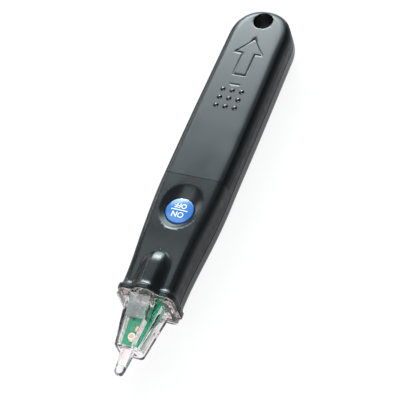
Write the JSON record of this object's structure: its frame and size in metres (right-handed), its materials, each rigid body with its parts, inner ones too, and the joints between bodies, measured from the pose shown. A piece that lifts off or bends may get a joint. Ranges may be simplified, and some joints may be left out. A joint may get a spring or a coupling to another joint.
{
  "type": "voltage detector",
  "caption": "Pen-type non-contact voltage detector with a clear sensing tip, a push button, a work light, an alarm lamp and a sliding battery cover.",
  "frame": {"origin": "centre of the bounding box's bottom, under the back face", "axes": "+Y towards the tail with the strap hole, +Z out of the front face with the button, +X across"},
  "size_m": [0.0202, 0.126, 0.016],
  "materials": {
    "housing_plastic": "satin",
    "cover_plastic": "satin",
    "clear_plastic": "gloss",
    "button_plastic": "gloss",
    "plunger_plastic": "satin",
    "switch_metal": "satin",
    "board_laminate": "gloss",
    "chip_epoxy": "matt",
    "coil_ferrite": "matt",
    "capacitor_ceramic": "satin",
    "led_plastic": "gloss",
    "led_lens": "gloss",
    "light_epoxy": "gloss",
    "tinned_steel": "satin",
    "sensor_strip": "satin",
    "buzzer_brass": "satin",
    "cell_wrap": "gloss",
    "spring_steel": "satin",
    "screw_steel": "satin"
  },
  "bodies": {
    "housing": {"front_shell": "housing_plastic", "rear_shell": "housing_plastic", "tip_lens": "clear_plastic", "switch_body": "switch_metal", "circuit_board": "board_laminate", "control_chip": "chip_epoxy", "boost_coil": "coil_ferrite", "chip_capacitors": "capacitor_ceramic", "chip_resistors": "chip_epoxy", "alarm_led": "led_plastic", "alarm_led_lens": "led_lens", "work_light": "light_epoxy", "work_light_leads": "tinned_steel", "sensor_plate": "sensor_strip", "buzzer_case": "chip_epoxy", "buzzer_disc": "buzzer_brass", "battery_cell": "cell_wrap", "battery_cap": "tinned_steel", "negative_spring": "spring_steel", "negative_plate": "tinned_steel", "positive_contact": "tinned_steel", "return_strip": "tinned_steel", "case_screws": "screw_steel"},
    "button": {"power_button": "button_plastic", "switch_plunger": "plunger_plastic"},
    "cover": {"battery_cover": "cover_plastic"}
  },
  "joints": [
    {"name": "button_press", "type": "slide", "parent": "housing", "child": "button", "axis": [0, 0, -1], "range_m": [0, 0.0005], "stiffness_N_per_m": 800},
    {"name": "cover_slide", "type": "slide", "parent": "housing", "child": "cover", "axis": [0, 1, 0], "range_m": [0, 0.066]}
  ]
}
